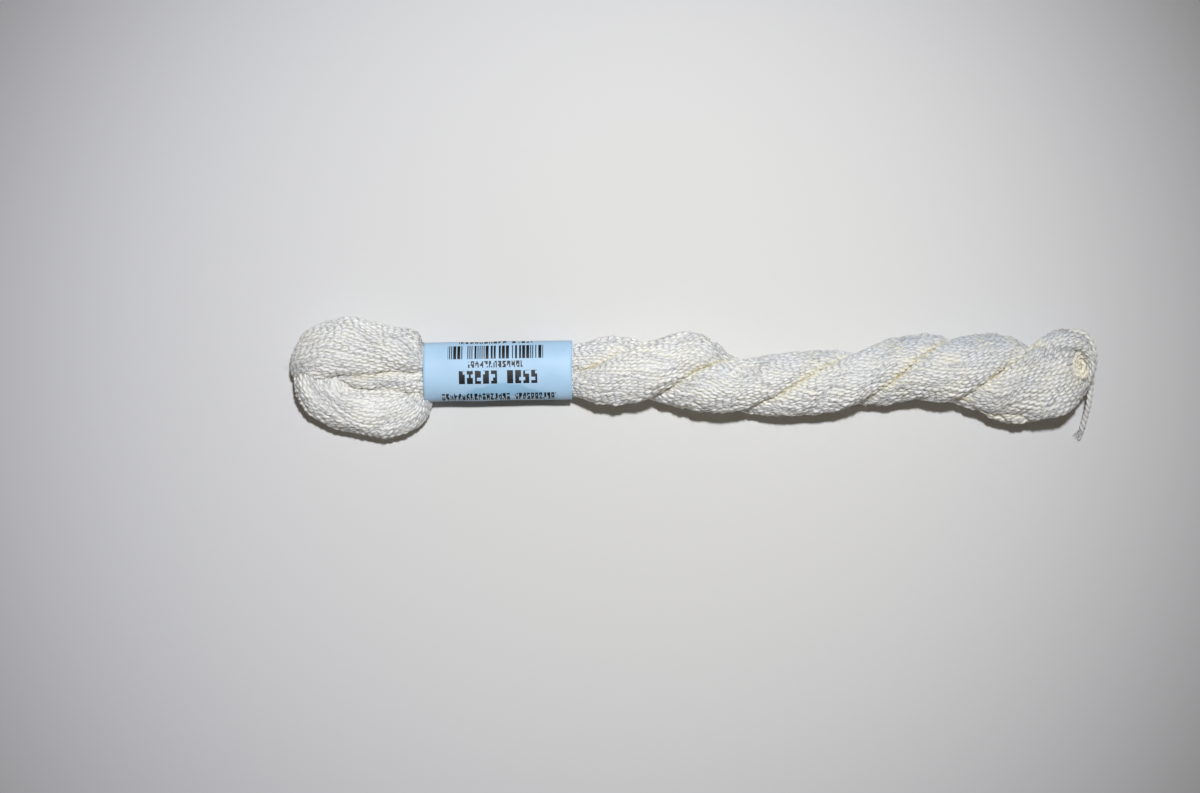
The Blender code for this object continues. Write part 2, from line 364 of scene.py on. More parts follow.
def fromBand(along, side, up):
    slant = math.radians(band["slant"])
    x = along * math.cos(slant) - side * math.sin(slant)
    y = along * math.sin(slant) + side * math.cos(slant)
    return np.stack([x, y, up], -1) + np.array(band["centre"])


# Presses points into the paper band, and lets them swell again past its ends.
def squeezeInBand(points, room):
    along, side, up = bandPlace(points)
    halfWidth, halfHeight = band["width"] / 2 - room, band["height"] / 2 - room
    over = smoothStep(-side, halfWidth + band["edge"][0], halfWidth + band["edge"][1])
    past = np.abs(along) - band["length"] / 2 + band["overhang"] * over
    free = smoothStep(past, *band["swell"])
    power = band["square"]
    beyond = np.abs(side / halfWidth) ** power + np.abs(up / halfHeight) ** power
    beyond = np.maximum(beyond, 1) ** (1 / power)
    factor = free + (1 - free) / beyond
    return fromBand(along, side * factor, up * factor)


# The middle turns of the loop go down before the others, which leaves the eye.
def openEye(points):
    x, y, z = np.moveaxis(points, -1, 0)
    inEye = np.exp(-(((y - eye["middle"][1]) / eye["half"][1]) ** 4))
    inEye = inEye * smoothStep(z, eye["from"], eye["to"])
    past = np.maximum(x - eye["left"], 0)
    return np.stack([x - past * eye["drawnIn"] * inEye, y, z], -1)


# Draws points into the band and up off the floor.
def settle(points, room, opensEye):
    if opensEye:
        points = openEye(points)
    points = squeezeInBand(points, room + band["thickness"] + band["play"])
    z = points[..., 2] - room
    points[..., 2] = room + 0.5 * (z + np.sqrt(z * z + strand["softness"]))
    return points


# The wide way and the thick way across each row, and how the path bends. A flat bundle keeps its
# thickness upright, and the others keep their width level before they are rolled.
def pathFrames(rows, flat):
    line = np.gradient(rows[:, :3], axis=0) * ([1, 1, 0] if flat else [1, 0, 1])
    length = np.linalg.norm(line, axis=1, keepdims=True)
    line /= length
    bend = np.gradient(line, axis=0) / length
    side = np.cross([0, 0, 1], line) if flat else np.broadcast_to([0.0, 1, 0], line.shape)
    up = np.cross(line, side)
    roll = np.radians(rows[:, 3:4])
    wide = side * np.cos(roll) + up * np.sin(roll)
    thick = up * np.cos(roll) - side * np.sin(roll)
    return wide, thick, bend


# The angles at these shares of the way round each row's oval.
def anglesAt(across, deep, shares):
    angle = np.linspace(0, math.tau, 97)
    between = (angle[1:] + angle[:-1]) / 2
    lengths = np.hypot(across[:, None] * np.sin(between), deep[:, None] * np.cos(between))
    reach = np.cumsum(lengths, 1)
    reach = np.concatenate([np.zeros((len(reach), 1)), reach], 1) / reach[:, -1:]
    return np.array([np.interp(s % 1, r, angle) for s, r in zip(shares, reach)])


# Points on the bundle's oval, drawn in by inset, and the directions out of it.
def onBundle(bundle, rows, shares, inset):
    wide, thick, bend = pathFrames(rows, bundle.flat)
    across, deep = rows[:, 4], rows[:, 5]
    angle = anglesAt(across, deep, shares)[..., None]
    wide, thick, bend = wide[:, None], thick[:, None], bend[:, None]
    across, deep = across[:, None, None], deep[:, None, None]
    inset = inset[..., None] if np.ndim(inset) else inset
    halfWidth, halfDepth = np.maximum(across - inset, 0.2), np.maximum(deep - inset, 0.2)
    out = wide * halfWidth * np.cos(angle) + thick * halfDepth * np.sin(angle)
    press = strand["mostTurn"] / np.maximum((out * bend).sum(-1, keepdims=True), 1e-6)
    normal = unit(wide * np.cos(angle) / across + thick * np.sin(angle) / deep)
    return rows[:, None, :3] + out * np.minimum(press, 1), normal


# A wall of quads on rings of point numbers. after holds the number that follows each.
def wallOn(rings, after):
    return np.stack([rings[:-1], after[:-1], after[1:], rings[1:]], -1).reshape(-1, 4)


# A wave along and round the bundle, alike for strands that lie together.
def drift(rng, reach, shares, lengths, turns):
    total = np.zeros(shares.shape)
    for length in lengths:
        for turn in turns:
            phase, slant = rng.uniform(0, math.tau), rng.choice([-1, 1])
            total += np.sin(math.tau * (reach[:, None] / length * slant + turn * shares) + phase)
    return total / math.sqrt(len(lengths) * len(turns) / 2)


# A wave along each of count strands, different for every one.
def ownDrift(rng, reach, count, lengths):
    total = np.zeros((len(reach), count))
    for length in lengths:
        stretch = length * rng.uniform(0.8, 1.25, count)
        total += np.sin(math.tau * (reach[:, None] / stretch + rng.uniform(0, 1, count)))
    return total / math.sqrt(len(lengths) / 2)


# A bundle of count strands. lumps is how uneven it is, in millimetres.
Bundle = namedtuple("Bundle", "rows flat count opensEye lumps seed")

# Places seen from above where strands part for a short way.
Split = namedtuple("Split", "x y length")
splits = (
    Split(-24.2, -1.5, 8),
    Split(1.0, 6.6, 16),
    Split(14.5, -3.5, 10),
    Split(29.5, 1.0, 12),
    Split(40.0, -4.0, 9),
    Split(51.1, 5.0, 15),
    Split(48.8, 0.4, 10),
    Split(66.0, -2.5, 10),
    Split(85.5, 0.3, 11),
    Split(91.0, -5.0, 9),
    Split(-86.0, 9.0, 12),
    Split(-80.0, -9.5, 12),
    Split(-94.0, -3.0, 9),
)


# Where each split lies in a bundle: how far along its path, and its share of the way round.
def findSplits(bundle, shares):
    reach = reachOf(bundle.rows)
    points, _ = onBundle(bundle, bundle.rows, shares, 0)
    upper, nearest, found = 0.25 * points[..., 2], 0.4, []
    for x, y, length in splits:
        away = np.hypot(points[..., 0] - x, points[..., 1] - y) - upper
        row, k = np.unravel_index(np.argmin(away), away.shape)
        if away[row, k] < nearest - upper[row, k]:
            twist = bundle.rows[row, 6] / 360
            found.append((reach[row], length / 2, shares[row, k] - twist + 0.5 / bundle.count))
    return found


# How far each share is from a split, and how open the split is there.
def nearSplit(bundle, shares, split):
    reach = reachOf(bundle.rows)
    middle, half, share = split
    away = (shares - bundle.rows[:, 6:7] / 360 - share + 0.5) % 1 - 0.5
    return away, np.exp(-(((reach[:, None] - middle) / half) ** 4))


# The strands and the skin below them share their bundle's lumps.
def lumpsOf(bundle, rows, shares):
    rng = np.random.default_rng(bundle.seed)
    reach = reachOf(rows)
    small = strand["smallLumps"] * drift(rng, reach, shares, *ripples["smallLumps"])
    return small + bundle.lumps * drift(rng, reach, shares, *ripples["lumps"])


# The middle of every strand of a bundle, the way out of the bundle there, and each row's size.
def layStrands(bundle, rng):
    rows, count = bundle.rows, bundle.count
    reach, most = reachOf(rows), strand["jitter"]
    shares = (np.arange(count) + rng.uniform(-most, most, count)) / count + rows[:, 6:7] / 360
    for split in findSplits(bundle, shares):
        away, parted = nearSplit(bundle, shares, split)
        beside = np.exp(-((away * count / strand["splitWidth"]) ** 2))
        shares = shares + np.sign(away) * strand["splitOpen"] / count * parted * beside
    sway = drift(rng, reach, shares, *ripples["sway"])
    shares = shares + (strand["sway"] + bundle.lumps) / count * sway
    shares = shares + strand["wander"] / count * ownDrift(rng, reach, count, ripples["wander"])
    inset = strand["thickness"] / 2 + strand["below"] + lumpsOf(bundle, rows, shares)
    inset = inset + strand["riseAndFall"] * ownDrift(rng, reach, count, ripples["riseAndFall"])
    points, normal = onBundle(bundle, rows, shares, inset)
    # Where the bundle spreads, its strands are looser and so wider.
    across, deep = rows[:, 4], rows[:, 5]
    girth = math.pi * (3 * (across + deep) - np.sqrt((3 * across + deep) * (across + 3 * deep)))
    size = np.clip(girth / count / strand["usualGap"], *strand["sizes"])
    return settle(points, strand["surface"], bundle.opensEye), normal, size


# Seams, with their sinking and their painted crease shade, are strong in the rope, fainter in the
# bun and hardly there at its end, but for its slit.
seam = {
    "endStrength": 0.1,
    "bunStrength": 0.35,  # added to the end's over this stretch of X
    "bunOver": (-92, -84),
    "ropeStrength": 0.55,  # added to both, and in the slit
    "ropeOver": (-34, -10),
    "slit": (-82, 0.5),
    "slitHalf": (5, 2.5),
    "sunk": 0.8,  # how far strands are drawn in where two bundles meet
    "sunkAt": 0.7,  # how deep in the other bundle that is
    "sunkWidth": 0.45,
    "faded": 0.8,  # how much of its colour goes over these stretches of X and of -Y
    "fadedOver": ((66, 76), (9, 12.5)),
    "deepest": 4,
}


def seamStrength(points):
    x, y = points[..., 0], points[..., 1]
    (slitX, slitY), (halfX, halfY) = seam["slit"], seam["slitHalf"]
    inSlit = np.exp(-(((x - slitX) / halfX) ** 4) - ((y - slitY) / halfY) ** 2)
    rope = np.maximum(smoothStep(x, *seam["ropeOver"]), inSlit)
    bun = smoothStep(x, *seam["bunOver"])
    return seam["endStrength"] + seam["bunStrength"] * bun + seam["ropeStrength"] * rope


def sinkSeams(points, normal, depth):
    bell = np.exp(-(((depth - seam["sunkAt"]) / seam["sunkWidth"]) ** 2))
    return points - normal * (seam["sunk"] * bell * seamStrength(points))[..., None]


# How deep points lie in these rows of a bundle, and less than nothing outside it.
def depthIn(bundle, rows, points):
    rows = rows[::2]
    wide, thick, _ = pathFrames(rows, bundle.flat)
    line = np.cross(wide, thick)
    depths, atOnce, nearRow, outside = [], 3000, 0.8, -9.0
    for some in np.array_split(points, len(points) // atOnce + 1):
        away = some[:, None] - rows[:, :3]
        beside, above, along = (np.einsum("prk,rk->pr", away, axis) for axis in (wide, thick, line))
        reach = np.hypot(beside, above)
        depth = reach / np.maximum(np.hypot(beside / rows[:, 4], above / rows[:, 5]), 0.05) - reach
        depths.append(np.where(np.abs(along) < nearRow, depth, outside).max(1))
    return np.concatenate(depths)


# How deep points lie in another bundle, and how strong the seam's painted crease shade and warm
# light are there. It is faint under the near edge of the loop.
def seamMarks(points, depth):
    alongX, alongY = seam["fadedOver"]
    faded = smoothStep(points[..., 0], *alongX) * smoothStep(-points[..., 1], *alongY)
    depth = np.clip(depth, -seam["deepest"], seam["deepest"])
    return np.stack([depth, seamStrength(points) * (1 - seam["faded"] * faded)], -1)


threadMarks = ("tone", "crest", "upper", "depth", "seams")
sectionAngles = np.arange(strand["sides"]) * math.tau / strand["sides"]
sectionReach = strand["waist"] + (1 - strand["waist"]) * np.abs(np.cos(sectionAngles)) ** 1.4


def smoothMesh(name, points, faces, material):
    mesh = bpy.data.meshes.new(name)
    mesh.from_pydata(points * mm, [], faces)
    mesh.polygons.foreach_set("use_smooth", np.ones(len(mesh.polygons), bool))
    mesh.materials.append(material)
    return mesh


# Gives each point its place on the thread or label, for the material.
def setPlace(mesh, name, places):
    attribute = mesh.attributes.new(name, "FLOAT_VECTOR", "POINT")
    attribute.data.foreach_set("vector", places.astype(np.float32).ravel())


# A mesh of strands, skins or fibres. Each point has its place on the thread (round it, and along
# it in millimetres), its strand's tone, how far it is up a ply's crest, how much it faces the
# upper side, and its seam marks.
class ThreadMesh:
    def __init__(self, name):
        self.name = name
        self.points, self.faces, self.values = [], [], []
        self.count = 0

    # Rings of points joined to a tube, with a cap at its start and end where they are closed.
    def addTube(self, rings, values, startsClosed=True, endsClosed=True):
        count, sides = rings.shape[:2]
        numbers = self.count + np.arange(count * sides).reshape(count, sides)
        self.faces += wallOn(numbers, np.roll(numbers, -1, 1)).tolist()
        if startsClosed:
            self.faces.append(numbers[0, ::-1].tolist())
        if endsClosed:
            self.faces.append(numbers[-1].tolist())
        self.points.append(rings.reshape(-1, 3))
        self.values.append(values.reshape(-1, 8))
        self.count += numbers.size

    # A strand of two plies along middle. normal and marks may be the same for every row.
    def add(self, middle, normal, marks, rng, size=1.0):
        reach = reachOf(middle)
        line = unit(np.gradient(middle, axis=0))
        out = unit(normal - line * (normal * line).sum(1, keepdims=True))
        across = np.cross(line, out)
        pitch = strand["twist"] * rng.uniform(*strand["twistShares"])
        start, tone = rng.uniform(0, math.tau), rng.uniform(0, 1)
        turned = sectionAngles - (math.tau * reach / pitch + start)[:, None]
        wave = np.sin(math.tau * reach / rng.uniform(*strand["unevenOver"]) + start * 3)
        uneven = size + strand["uneven"] * wave
        radius = strand["thickness"] / 2 * uneven[:, None] * sectionReach
        radius[[0, -1]] *= strand["tips"]
        ring = middle[:, None] + radius[..., None] * (
            out[:, None] * np.cos(turned)[..., None] + across[:, None] * np.sin(turned)[..., None]
        )
        ring[..., 2] = np.maximum(ring[..., 2], strand["lowest"])
        values = np.empty((*turned.shape, 8))
        values[..., 0], values[..., 1] = np.cos(turned), np.sin(turned)
        values[..., 2] = (reach + start * 40)[:, None]
        values[..., 3] = tone
        values[..., 4] = (sectionReach - sectionReach.min()) / np.ptp(sectionReach)
        values[..., 5] = out[:, None, 1]
        values[..., 6:] = np.reshape(marks, (-1, 1, 2))
        self.addTube(ring, values)

    # A plain skin that fills the valleys between the strands.
    def addSkin(self, points, normal, marks, startsClosed=True):
        values = np.zeros((*points.shape[:2], 8))
        values[..., :3] = points * 0.8
        values[..., 5] = normal[..., 1]
        values[..., 6:] = marks
        self.addTube(points, values, startsClosed)

    # A single fibre, which thins out towards its end.
    def addFibre(self, middle, radius, tone):
        line = unit(np.gradient(middle, axis=0))
        side = unit(np.cross(line, [0.31, 0.52, 0.79]))
        up = np.cross(line, side)
        angle = np.arange(3) * math.tau / 3
        size = radius * np.linspace(1, 0.35, len(middle))[:, None, None]
        ring = middle[:, None] + size * (
            side[:, None] * np.cos(angle)[:, None] + up[:, None] * np.sin(angle)[:, None]
        )
        values = np.zeros((len(middle), 3, 8))
        values[..., 3], values[..., 4] = tone, 0.7
        self.addTube(ring, values, False, False)

    def make(self, material):
        mesh = smoothMesh(self.name, np.concatenate(self.points), self.faces, material)
        values = np.concatenate(self.values).astype(np.float32)
        setPlace(mesh, "threadPlace", values[:, :3])
        for label, column in zip(threadMarks, values[:, 3:].T):
            attribute = mesh.attributes.new(label, "FLOAT", "POINT")
            attribute.data.foreach_set("value", np.ascontiguousarray(column))
        made = addObject(self.name, mesh)
        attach(made, "root")
        print(f"{self.name}: {sum(len(face) - 2 for face in self.faces)} triangles")
        return made


# Adds a strand for every stretch that shows, and gives the places that are bare for loose fibres.
# targetFor gives the mesh for a stretch's middle.
def addShown(points, normal, depth, size, targetFor, rng):
    inBand = np.abs(bandPlace(points)[0]) < band["length"] / 2 - band["reach"]
    shown = (depth < strand["hiddenDepth"]) & ~inBand
    marks = seamMarks(points, depth)
    for k in range(points.shape[1]):
        edges = np.flatnonzero(np.diff(np.concatenate([[0], shown[:, k], [0]])))
        for start, end in zip(edges[::2], edges[1::2]):
            if end - start > strand["fewest"]:
                part, target = slice(start, end), targetFor(points[(start + end) // 2, k])
                target.add(points[part, k], normal[part, k], marks[part, k], rng, size[part])
    bare = depth < -0.5
    return points[bare & ~inBand], normal[bare & ~inBand]


def newMaterial(name):
    material = bpy.data.materials.new(name)
    material.use_nodes = True
    tree = material.node_tree
    return material, tree, tree.nodes["Principled BSDF"]


# Gives a node's sockets values, or what other nodes put out.
def feed(tree, node, inputs):
    for socket, value in inputs.items():
        if isinstance(value, bpy.types.NodeSocket):
            tree.links.new(value, node.inputs[socket])
        else:
            node.inputs[socket].default_value = value


def addNode(tree, kind, inputs, **settings):
    node = tree.nodes.new("ShaderNode" + kind)
    for name, value in settings.items():
        setattr(node, name, value)
    feed(tree, node, inputs)
    return node.outputs


def readMark(tree, name, output="Fac"):
    return addNode(tree, "Attribute", {}, attribute_name=name)[output]


def maths(tree, operation, *values):
    return addNode(tree, "Math", dict(enumerate(values)), operation=operation)[0]


def mixColours(tree, factor, first, second):
    inputs = {"Factor": factor, "A": first, "B": second}
    return addNode(tree, "Mix", inputs, data_type="RGBA")["Result"]


def noise(tree, place, scale, detail):
    inputs = {"Vector": place, "Scale": scale, "Detail": detail}
    return addNode(tree, "TexNoise", inputs)["Fac"]


def bump(tree, height, strength, depth):
    inputs = {"Height": height, "Strength": strength, "Distance": depth * mm}
    return addNode(tree, "Bump", inputs)["Normal"]


# A bell of this width over distance, times strength.
def fallOff(tree, distance, width, strength):
    share = maths(tree, "DIVIDE", distance, width)
    square = maths(tree, "MULTIPLY", share, maths(tree, "MULTIPLY", share, -1))
    return maths(tree, "MULTIPLY", maths(tree, "EXPONENT", square), strength)


silk = {
    "crown": (0.955, 0.945, 0.92, 1),
    "grooveShade": (0.88, 0.865, 0.815, 1),
    "creamAndBounce": (0.93, 0.87, 0.65, 1),
    "shaded": (0.56, 0.595, 0.65, 1),
    # painted crease shade: the ochre at the bottom of a seam
    "seam": (0.57, 0.465, 0.27, 1),
    "roughness": 0.32,
    "glow": 0.7,
    "glowReach": (1.0, 0.92, 0.78),
    "glowDepth": 1.2,
    "filaments": (7.0, 7.0, 0.5),  # how fine they are, round the thread and along it
    "filamentDepth": 0.08,
    "filamentShare": (0.5, -0.25),  # times and plus, and so in the next three
    "patch": (2.4, -1.05),
    "patchOnCrest": (-0.7, 1.0),
    "patchAtSeam": (0.8, 0.2),
    "worn": 0.9,  # how much the light and dark of a turn wander
    "wornScale": 0.35,
    "shadeTowardsLoop": {"From Min": 0.0, "From Max": 0.075, "To Min": 0.3, "To Max": 1.2},
    "leastShade": 0.2,
    "patchScale": 210.0,
    "mostPatch": 0.6,
    "bounceBeside": 0.85,
    "bounceWidth": 1.8,
    "creaseShadeWidth": 0.33,
    "seamBottom": 0.75,  # how deep in the next bundle a strand is there
}


def silkMaterial():
    material, tree, shader = newMaterial("silk_thread")
    read = {name: readMark(tree, name) for name in threadMarks}
    thread = readMark(tree, "threadPlace", "Vector")
    place = addNode(tree, "TexCoord", {})["Object"]
    # Fine filaments run along the thread.
    squeezed = addNode(tree, "Mapping", {"Vector": thread, "Scale": silk["filaments"]})
    filaments = noise(tree, squeezed["Vector"], 1.0, 3.0)
    # Each turn is a little different, and so is each stretch of it.
    apart = maths(tree, "MULTIPLY", read["tone"], 40)
    turn = {"Vector": thread, "Scale": silk["wornScale"], "W": apart}
    worn = addNode(tree, "TexNoise", turn, noise_dimensions="4D")["Fac"]
    crest = maths(tree, "MULTIPLY_ADD", filaments, *silk["filamentShare"])
    crest = maths(tree, "ADD", crest, read["crest"])
    crest = maths(tree, "SUBTRACT", crest, silk["worn"] / 2)
    crest = maths(tree, "MULTIPLY_ADD", worn, silk["worn"], crest)
    crest = maths(tree, "MINIMUM", maths(tree, "MAXIMUM", crest, 0), 1)
    # Painted shade: the grooves between the plies, and the skin in the valleys, are darker and
    # greyer than the crests.
    colour = mixColours(tree, crest, silk["grooveShade"], silk["crown"])
    # Painted shade: the upper side is greyer, and all of the silk a little greyer, the more so
    # towards the loop.
    along = addNode(tree, "SeparateXYZ", {"Vector": place})["X"]
    shadeTowardsLoop = addNode(tree, "MapRange", {"Value": along, **silk["shadeTowardsLoop"]})[0]
    upper = maths(tree, "MAXIMUM", read["upper"], silk["leastShade"])
    colour = mixColours(tree, maths(tree, "MULTIPLY", upper, shadeTowardsLoop), colour, silk["shaded"])
    # Painted shade and light at the seams: ochre painted crease shade at their bottom and cream
    # painted warm bounce light beside them. There are also some cream patches, partly random tone
    # and partly painted warm light, lying more in the valleys and at seams.
    patch = noise(tree, place, silk["patchScale"], 2.0)
    patch = maths(tree, "MULTIPLY_ADD", patch, *silk["patch"])
    patch = maths(tree, "MINIMUM", maths(tree, "MAXIMUM", patch, 0), silk["mostPatch"])
    for value, share in ((crest, silk["patchOnCrest"]), (read["seams"], silk["patchAtSeam"])):
        patch = maths(tree, "MULTIPLY", patch, maths(tree, "MULTIPLY_ADD", value, *share))
    short = maths(tree, "SUBTRACT", silk["seamBottom"], read["depth"])
    short = maths(tree, "MAXIMUM", short, 0)
    beside = fallOff(tree, short, silk["bounceWidth"], read["seams"])
    beside = maths(tree, "MULTIPLY", beside, silk["bounceBeside"])
    colour = mixColours(tree, maths(tree, "MAXIMUM", patch, beside), colour, silk["creamAndBounce"])
    creaseShade = fallOff(tree, short, silk["creaseShadeWidth"], read["seams"])
    finish = {
        "Base Color": mixColours(tree, creaseShade, colour, silk["seam"]),
        "Normal": bump(tree, filaments, 0.6, silk["filamentDepth"]),
        "Roughness": silk["roughness"],
        "Subsurface Weight": silk["glow"],
        "Subsurface Radius": silk["glowReach"],
        "Subsurface Scale": silk["glowDepth"] * mm,
    }
    feed(tree, shader, finish)
    return material


silkFinish = silkMaterial()

easedRope = easeRows(ropePath(), strand["step"], strand["ropeEase"])
hank = {
    "rope": Bundle(easedRope, False, 44, True, 0.15, 40),
    "bunTop": Bundle(bunPath(bunTop), False, 42, False, 0.3, 38),
    "curlIn": Bundle(bunPath(curlIn), True, 27, False, 0.15, 25),
    "curlOut": Bundle(bunPath(curlOut), True, 43, False, 0.3, 40),
    "rim": Bundle(bunPath(rim), True, 21, False, 0.1, 20),
    "apron": Bundle(bunPath(apron), True, 24, False, 0.1, 14),
    "wrap": Bundle(bunPath(wrap), True, 20, False, 0.1, 15),
}
inBun = ("bunTop", "curlIn", "curlOut", "wrap")
# The pieces that strands go to, by how far along X they lie.
ropePieces = (
    (5, "skein_rope_first"),
    (45, "skein_rope_second"),
    (80, "skein_rope_third"),
    (999, "skein_fold"),
)
bunPieces = ((-84, "skein_bun_end"), (999, "skein_bun_side"))


# The legs of the rope are compared without the loop, where one runs into the other.
def legsOf(rows):
    turnsBack = int(np.argmin(np.where(rows[:, 2] < fold["beneath"], -rows[:, 0], 0)))
    return turnsBack, [leg[leg[:, 0] < fold["legsEnd"]] for leg in np.split(rows, [turnsBack])]


# How deep the points of this bundle lie in the bundles that may hide them. The rope's ply on its
# way out may lie in the ply that comes back, and the other way round.
def depthInOthers(key, points, turnsBack, legs):
    flat, rope = points.reshape(-1, 3), hank["rope"]
    if key in inBun:
        others = [k for k in inBun[:3] if k != key]
        depth = np.max([depthIn(hank[k], hank[k].rows, flat) for k in others], 0)
    elif key == "rope":
        cut = turnsBack * points.shape[1]
        ahead, behind = depthIn(rope, legs[1], flat[:cut]), depthIn(rope, legs[0], flat[cut:])
        depth = np.concatenate([ahead, behind])
    else:
        depth = depthIn(rope, legs[0], flat)
        if key == "apron":
            depth = np.maximum(depth, depthIn(rope, legs[1], flat))
    return depth.reshape(points.shape[:2])


def makeHank():
    turnsBack, legs = legsOf(hank["rope"].rows)
    meshes, skin, bare = {}, ThreadMesh("skein_inside"), []
    for number, (key, bundle) in enumerate(hank.items()):
        rng = np.random.default_rng(40 + number)
        points, normal, size = layStrands(bundle, rng)
        depth = depthInOthers(key, points, turnsBack, legs)
        pieces = bunPieces if key in inBun else ropePieces

        def targetFor(point):
            name = next(name for end, name in pieces if point[0] < end)
            if key == "bunTop" and name == "skein_bun_side":
                name = "skein_bun_top"
            return meshes.setdefault(name, ThreadMesh(name))

        sunk = sinkSeams(points, normal, depth)
        bare.append(addShown(sunk, normal, depth, size, targetFor, rng))
        addBundleSkin(skin, key, bundle, turnsBack, legs)
    addEyeFill(meshes["skein_fold"], skin)
    line = evenRows(smoothRows(outerTurn, perRow=12), strand["step"])
    meshes["skein_fold"].add(line, (0.3, 0.3, 0.9), (-1.0, 0.5), np.random.default_rng(9))
    points, normal = (np.concatenate(parts) for parts in zip(*bare))
    meshes["fuzz"] = addFuzz(points, normal)
    return [mesh.make(silkFinish) for mesh in (*meshes.values(), skin)]


# The skin below a bundle's strands, with the seams' painted crease shade where two strands part.
def addBundleSkin(skin, key, bundle, turnsBack, legs):
    rows, count = bundle.rows[::2], bundle.count
    shares = np.tile(np.arange(strand["skinSides"]) / strand["skinSides"], (len(rows), 1))
    inset = strand["skinDepth"] + lumpsOf(bundle, rows, shares)
    points, normal = onBundle(bundle, rows, shares, inset)
    points = settle(points, strand["skinDepth"], bundle.opensEye)
    depth = depthInOthers(key, points, turnsBack // 2, legs)
    if bundle.opensEye:
        points = lowerEye(points)
    marks = seamMarks(points, depth)
    for split in findSplits(bundle, np.arange(count) / count + bundle.rows[:, 6:7] / 360):
        away, parted = nearSplit(bundle._replace(rows=rows), shares, split)
        away = np.abs(away) * count
        opened = np.stack([0.75 - away - 3 * (1 - parted), 0.6 * parted * (away < 3)], -1)
        marks = np.maximum(marks, opened)
    skin.addSkin(points, normal, marks)


# Makes room in the skin for the eye's own turns.
def lowerEye(points):
    x, y, z = np.moveaxis(points, -1, 0)
    (midX, midY), (halfX, halfY) = eye["middle"], eye["half"]
    near = np.exp(-(((x - midX) / (halfX + 1)) ** 4) - ((y - midY) / (halfY + 1)) ** 4)
    return np.stack([x, y, z - eye["lowered"] * near * smoothStep(z, eye["from"], eye["to"])], -1)


# Turns that show inside the eye, winding down to its middle over a small bowl.
def addEyeFill(strands, skin):
    (x, y), (halfX, halfY) = eye["middle"], eye["half"]

    def roundEye(share, angle, height):
        beside, ahead = x + halfX * share * np.cos(angle), y + halfY * share * np.sin(angle)
        return np.stack([beside, ahead, height + 0 * angle], -1)

    turn = np.linspace(0, eye["turns"], eye["steps"])
    shrink = eye["width"] - eye["narrower"] * turn
    line = roundEye(shrink, math.tau * turn, eye["height"] + eye["rise"] * shrink)
    # The eye's turns and bowl carry seam marks, which paint its hollow with crease shade and warm
    # bounce light.
    strands.add(line, (0, 0, 1), (0.1, 0.8), np.random.default_rng(8))
    share = np.array(eye["bowl"])[:, None]
    around = np.arange(24) * math.tau / 24
    rings = roundEye(share, around, eye["bowlHeight"] + eye["bowlRise"] * share)
    skin.addSkin(rings, np.zeros(3), (0.3, 0.8), startsClosed=False)


fuzz = {
    "count": 1900,
    "longest": 2.8,
    "thickness": 0.055,
    "spread": 0.75,
    "curl": 0.6,
    "bend": 0.25,
    "off": 0.3,
    "lowestStart": 2.0,
    "lowest": 0.1,
}


# Short loose fibres that stand off the skein.
def addFuzz(points, normal):
    rng = np.random.default_rng(17)
    made = ThreadMesh("skein_fuzz")
    for i in rng.choice(len(points), fuzz["count"], replace=False):
        way = unit(normal[i] + rng.normal(0, fuzz["spread"], 3))
        if (way * normal[i]).sum() < 0.1 or points[i][2] < fuzz["lowestStart"]:
            continue
        curl = fuzz["curl"] * np.cross(way, rng.normal(0, 1, 3))
        reach = np.linspace(0, 1, 6)[:, None] * fuzz["longest"] * rng.uniform(0.3, 1) ** 1.5
        line = points[i] + normal[i] * fuzz["off"] + way * reach + curl * reach**2 * fuzz["bend"]
        line[:, 2] = np.maximum(line[:, 2], fuzz["lowest"])
        made.addFibre(line, fuzz["thickness"] / 2, rng.uniform(0, 1))
    return made


hankPieces = makeHank()
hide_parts("hank")
print("hank laid")


# Label print: rows of small blocks that stand for lines of type, in millimetres along and across.
rowFields = "left right low high stepAlong stepAcross perMark blank cover seed"
PrintRow = namedtuple("PrintRow", rowFields)
printRows = (
    PrintRow(-9.8, 9.2, 7.05, 8.4, 0.30, 0.40, 4, 2, 0.75, 3),
    PrintRow(-12.6, 11.9, 3.1, 6.5, 0.26, 50.0, 4, 99, 0.76, 7),
    PrintRow(-7.4, 6.6, 0.85, 2.55, 0.29, 0.43, 4, 99, 0.72, 12),
    PrintRow(-10.3, 10.3, -3.3, 0.1, 0.515, 0.85, 4, 0, 0.86, 21),
    PrintRow(-14.4, 15.0, -7.4, -5.75, 0.26, 0.41, 4, 3, 0.75, 33),
)
paper = {
    "colour": (0.42, 0.63, 0.85, 1),
    "wash": (0.20, 0.44, 0.66, 1),
    "washed": 0.55,
    "washMiddle": 1.5,
    "washSlope": -0.32,
    "washPeak": -2.4,
    "washTop": -3.0,
    "washBottom": -6.4,
    "ink": (0.006, 0.007, 0.01, 1),
    "roughness": 0.5,
    "shine": 0.35,
    "fibreDepth": 0.06,
    "washUneven": (3.0, -1.5),  # times and plus
    "washEdge": 0.5,
}


def within(tree, value, low, high):
    above = maths(tree, "GREATER_THAN", value, low)
    return maths(tree, "MULTIPLY", above, maths(tree, "LESS_THAN", value, high))


